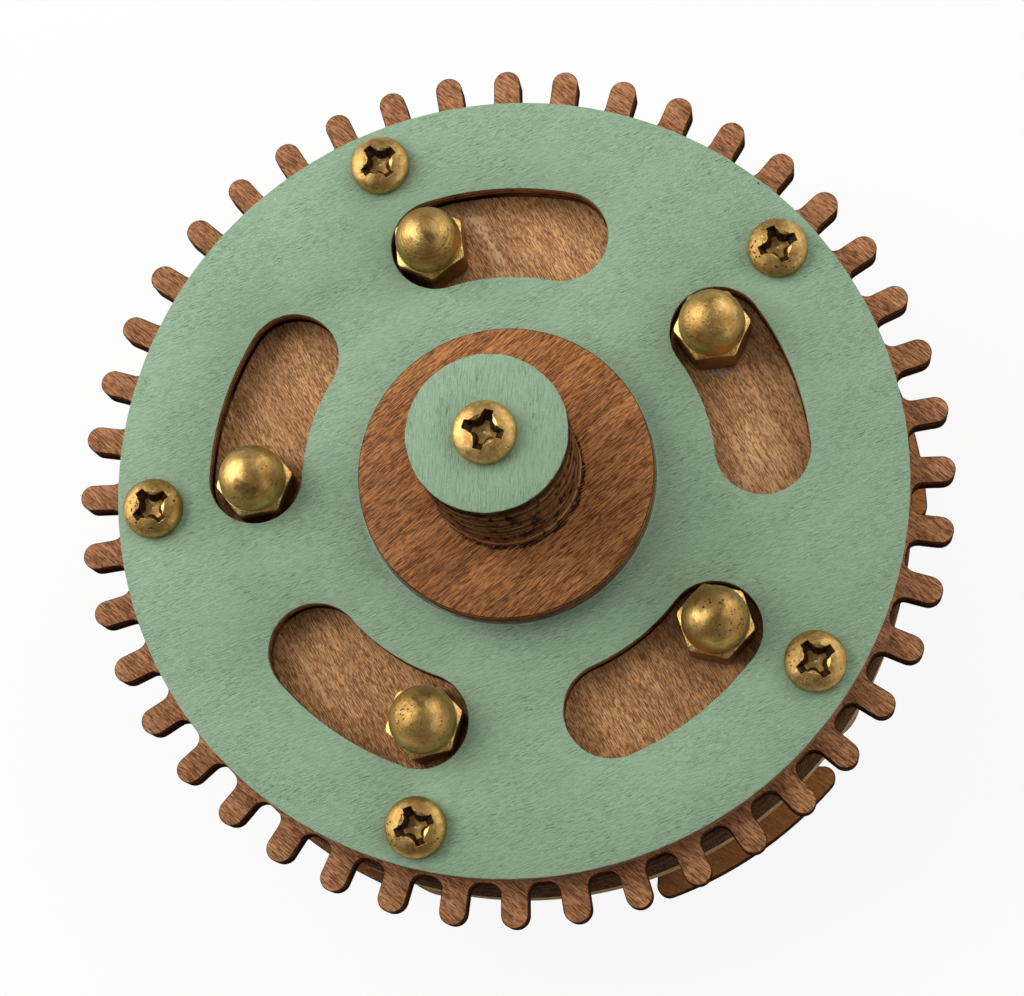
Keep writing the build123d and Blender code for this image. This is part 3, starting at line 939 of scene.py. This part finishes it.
# Glide pads
PAD_RADIUS = 5.5
pad_edge = ply_edge("pad_edge", "glide_pads", rgb(206, 182, 152), rgb(186, 160, 130), rgb(120, 92, 66),
                    rgb(224, 206, 180), 63, 5, burn=0.1)
for k in range(SECTORS):
    centre = rim_screw_spot(k)
    outlines = [circle(PAD_RADIUS, centre, 96), circle(SCREW_HOLE, centre, 32)]
    layer(f"glide_pad_{k + 1}", "glide_pads", outlines, 0.2, (bare_face, pad_edge, bare_rim),
          "wheel")

# Base plate
base_edge = stained_edge("base_edge", "base_plate", 77)
layer("lugged_base", "base_plate", [lugged_outline()] + bolt_holes(), 0.12,
      (lug_face, base_edge, scorched), "base")

# Hub discs and nut disc
HUB_DISCS = 7
for k in range(HUB_DISCS):
    node = f"hub_disc_{k + 1}"
    outlines = hub_outlines(circle(radius_of(node), steps=200))
    edge = stained_edge(f"hub_edge_{k + 1}", node, 5 * k)
    layer(f"hub_layer_{k + 1}", node, outlines, 0.06, (inner_face, edge, scorched), "base")
floor_outlines = hub_outlines(circle(radius_of("nut_disc"), steps=240))
floor_edge = stained_edge("floor_edge", "nut_disc", 88)
layer("slot_floor", "nut_disc", floor_outlines, 0.06, (floor_face, floor_edge, scorched),
      "base")

# Flange and knob, whose hand-sanded discs are a little wide and a little off the axis
FLANGE_SWELL = 0.05
FLANGE_DRIFT = Vector((0.06, -0.04))
DISC_SWELL = 0.03
DISC_DRIFT = Vector((0.05, 0))
TOP_SWELL = 0.07
TOP_DRIFT = Vector((0.03, 0))
KNOB_DISCS = 5
flange_radius = radius_of("flange_disc") + FLANGE_SWELL
flange_outlines = knob_outlines(circle(flange_radius, FLANGE_DRIFT, wobble=0.03, seed=8))
flange_edge = ply_edge("flange_edge", "flange_disc", rgb(168, 118, 80), rgb(126, 84, 54), rgb(44, 25, 15),
                       rgb(206, 164, 124), 91, 4, burn=0.3)
layer("flange", "flange_disc", flange_outlines, 0.08, (flange_face, flange_edge, scorched),
      "base")
knob_radius = radius_of("knob_cap")
for k in range(KNOB_DISCS):
    node = f"knob_disc_{k + 1}"
    outlines = knob_outlines(circle(knob_radius + DISC_SWELL, DISC_DRIFT, 192, wobble=0.05, seed=20 + k))
    # The lowest disc has a paler core
    core = rgb(230, 176, 118) if k == 0 else rgb(92, 59, 36)
    edge = ply_edge(f"knob_edge_{k + 1}", node, rgb(154, 106, 67), core, rgb(22, 13, 8),
                    rgb(196, 152, 106), 33 + 7 * k, burn=0.8)
    layer(f"knob_layer_{k + 1}", node, outlines, 0.07, (inner_face, edge, scorched), "base")
top_outlines = knob_outlines(circle(knob_radius + TOP_SWELL, TOP_DRIFT, 192, wobble=0.06, seed=19))
cap_edge = ply_edge("cap_edge", "knob_cap", rgb(104, 70, 46), rgb(66, 44, 30), rgb(26, 17, 12),
                    rgb(160, 122, 88), 66, burn=0.6)
layer("knob_top", "knob_cap", top_outlines, 0.12, (painted_cap, cap_edge, painted_rim),
      "base")

# Cap nuts, each turned and aged in its own way, and a little off its place
NUT_TURNS = (35.7, 66.0, 39.0, 44.0, 78.0)
NUT_DRIFT = ((-0.34, 0.08), (-0.36, 0.10), (0.10, -0.15), (0.09, -0.14), (-0.12, 0.28))
# How far each nut has tarnished, how pitted it is and how clearly its turning rings show
NUT_AGE = ((0.60, 0.5, 0.30), (0.80, 0.4, 0.75), (0.70, 0.9, 0.2), (0.75, 0.7, 0.3), (0.85, 1.0, 0.2))
# Each smudge runs between two points, by radius and turn on the nut, with a width
NUT_SMUDGE = (
    None,
    ((0.2, 100), (1.1, 240), 0.7),
    ((1.8, 200), (2.4, 250), 0.8),
    ((1.2, 20), (2.0, 60), 0.6),
    ((1.5, 330), (0.7, 200), 0.6),
)
# Painted shade: the flanks' metal is made far darker, standing in for the shaded wood that they mirror
shaded_nut_flank = aged_brass("shaded_nut_flank", 9.0, 1.0, 0.8, sheen=0.36, bright=0.4)
nut_bevel = aged_brass("nut_bevel", 10.0, 0.25, 0.2, sheen=0.30, bright=1.05)
nut_foot = span("cap_nuts")[0]
for k in range(SECTORS):
    ends = NUT_SMUDGE[k]
    smudge = ends and [at(*ends[0]), at(*ends[1]), ends[2]]
    dome = aged_brass(f"nut_brass_{k + 1}", 11.0 + 13 * k, *NUT_AGE[k], bright=1.08, smudge=smudge)
    nut = cap_nut(f"cap_nut_{k + 1}", shaded_nut_flank, nut_bevel, dome)
    stand(nut, nut_spot(k) + Vector(NUT_DRIFT[k]), nut_foot, NUT_TURNS[k])
    dress(nut, "base", "cap_nuts")

# Screws: how each is turned, how far it has tarnished and how pitted it is
SCREW_TURNS = (22.0, 39.0, 39.0, 21.5, 33.5)
SCREW_AGE = ((0.6, 0.9), (0.6, 0.6), (0.85, 1.0), (0.75, 0.9), (0.5, 0.6))
RIM_SCREW_LENGTH = 25.0
KNOB_SCREW_LENGTH = 35.0
KNOB_SCREW_TURN = -16
KNOB_SCREW_DRIFT = Vector((-0.12, -0.12))
mouth_edge = aged_brass("mouth_edge", 5.0, 0.2, 0.1, sheen=0.32, bright=1.05)
# Painted shade on the walls of the screws' recesses
recess_wall = recess_shade("recess_wall")
recess_floor = aged_brass("recess_floor", 6.0, 0.9, 0.5, sheen=0.5, bright=0.8)
# A painted glint: near-white colour in the middle of each recess floor
glint = burnt_rim_and_glint("glint", rgb(206, 178, 120), rgb(250, 244, 226), 4)
recess_metals = (mouth_edge, recess_wall, recess_floor, glint)
screw_seat = span("face_plate")[1]
for k in range(SECTORS):
    head = aged_brass(f"screw_brass_{k + 1}", 101.0 + 7 * k, *SCREW_AGE[k], bright=0.85)
    screw = pan_screw(f"rim_screw_{k + 1}", RIM_SCREW_LENGTH, (head, *recess_metals))
    stand(screw, rim_screw_spot(k), screw_seat, SCREW_TURNS[k])
    dress(screw, "wheel", "rim_screws")
head = aged_brass("top_screw_brass", 151.0, 0.45, 0.5)
top_screw = pan_screw("top_screw", KNOB_SCREW_LENGTH, (head, *recess_metals))
stand(top_screw, KNOB_SCREW_DRIFT, span("knob_cap")[1], KNOB_SCREW_TURN)
dress(top_screw, "base", "knob_screw")

# CAD nodes that keep their own mesh
hidden_brass = aged_brass("bushing_brass", 171.0, 0.4, 0.3, 0.2)
for node, material in (
    ("stack_bolts", steel),
    ("centre_bushing", hidden_brass),
    ("lower_slip_washer", clear),
    ("upper_slip_washer", clear),
):
    mesh = frame["nodes"][node].data
    mesh.materials.clear()
    mesh.materials.append(material)


# ---------------------------------------------------------------- stage

FLOOR_HALF = 2.5
FLOOR_BOUNCE = (0.34, 0.33, 0.32, 1)
FLOOR_WHITE = (0.86, 0.86, 0.85, 1)
FLOOR_GLOW = 0.9


def backdrop():
    """A large white floor, in metres, that keeps a faint shadow of the toy."""
    half = FLOOR_HALF
    corners = [(-half, -half, 0), (half, -half, 0), (half, half, 0), (-half, half, 0)]
    mesh = bpy.data.meshes.new("floor")
    mesh.from_pydata(corners, [], [(0, 1, 2, 3)])
    g = Graph("floor_white")
    path = g.node("ShaderNodeLightPath").outputs
    # White where the camera sees it, and a darker table for the light that it sends up
    shade = g.mix(path["Is Camera Ray"], FLOOR_BOUNCE, FLOOR_WHITE)
    matt = g.node("ShaderNodeBsdfDiffuse", {}, {"Color": shade}).outputs[0]
    glow = g.node("ShaderNodeEmission", {}, {"Strength": 1.0}).outputs[0]
    seen = g.math("MAXIMUM", path["Is Camera Ray"], path["Is Glossy Ray"])
    seen = g.math("MAXIMUM", seen, path["Is Transmission Ray"])
    mixed = g.node("ShaderNodeMixShader", {}, {0: g.times(seen, FLOOR_GLOW), 1: matt, 2: glow})
    mesh.materials.append(g.ended_in(mixed.outputs[0]))
    placed("floor", mesh)


def softbox(name, direction, distance, size, power, glossy=True):
    """An area lamp that looks at the toy from a direction, with its distance and size in metres
    and its power in watts. Metal doesn't mirror it without glossy."""
    lamp = bpy.data.lights.new(name, "AREA")
    lamp.shape = "RECTANGLE"
    lamp.size, lamp.size_y = size
    lamp.energy = power
    light = placed(name, lamp)
    light.visible_glossy = glossy
    way = Vector(direction).normalized()
    light.location = way * distance + Vector((0, 0, 0.03))
    light.rotation_mode = "QUATERNION"
    light.rotation_quaternion = way.to_track_quat("Z", "Y")


def world(strength):
    """Even pale light from all round, and white where the camera sees it."""
    made = bpy.data.worlds.new("studio")
    bpy.context.scene.world = made
    made.use_nodes = True
    tree = made.node_tree
    tree.nodes.clear()
    path = tree.nodes.new("ShaderNodeLightPath")
    fill = tree.nodes.new("ShaderNodeBackground")
    fill.inputs["Color"].default_value = (1.0, 0.985, 0.965, 1)
    fill.inputs["Strength"].default_value = strength
    white = tree.nodes.new("ShaderNodeBackground")
    mix = tree.nodes.new("ShaderNodeMixShader")
    output = tree.nodes.new("ShaderNodeOutputWorld")
    tree.links.new(path.outputs["Is Camera Ray"], mix.inputs[0])
    tree.links.new(fill.outputs[0], mix.inputs[1])
    tree.links.new(white.outputs[0], mix.inputs[2])
    tree.links.new(mix.outputs[0], output.inputs[0])


def camera(place, tilt, lens):
    """A camera at a place, turned from looking straight down about the axis tilt, whose length
    is the turn in radians."""
    data = bpy.data.cameras.new("camera")
    data.sensor_width = 36
    data.lens = lens
    data.clip_start = 0.01
    made = placed("camera", data)
    made.location = place * MM
    made.rotation_mode = "QUATERNION"
    made.rotation_quaternion = Quaternion(tilt.normalized(), tilt.length)
    bpy.context.scene.camera = made


backdrop()
world(0.16)
softbox("left_softbox", (-0.85, 0.255, 0.56), 0.62, (0.62, 0.62), 4.3)
softbox("right_softbox", (0.667, 0.634, 0.50), 0.85, (0.72, 0.72), 3.0)
softbox("side_softbox", (0.9, -0.25, 0.42), 0.85, (0.6, 0.5), 1.4)
softbox("top_softbox", (0.0, 0.8, 1.0), 0.45, (0.45, 0.45), 0.5, glossy=False)

# It looks down at the face, a little from the lower right of the photograph
CAMERA_PLACE = Vector((32.01, -66.59, 311.44))
CAMERA_TILT = Vector((0.2239, 0.1098, 0))
LENS = 90.8
camera(CAMERA_PLACE, CAMERA_TILT, LENS)
bpy.context.scene.view_settings.view_transform = "Standard"
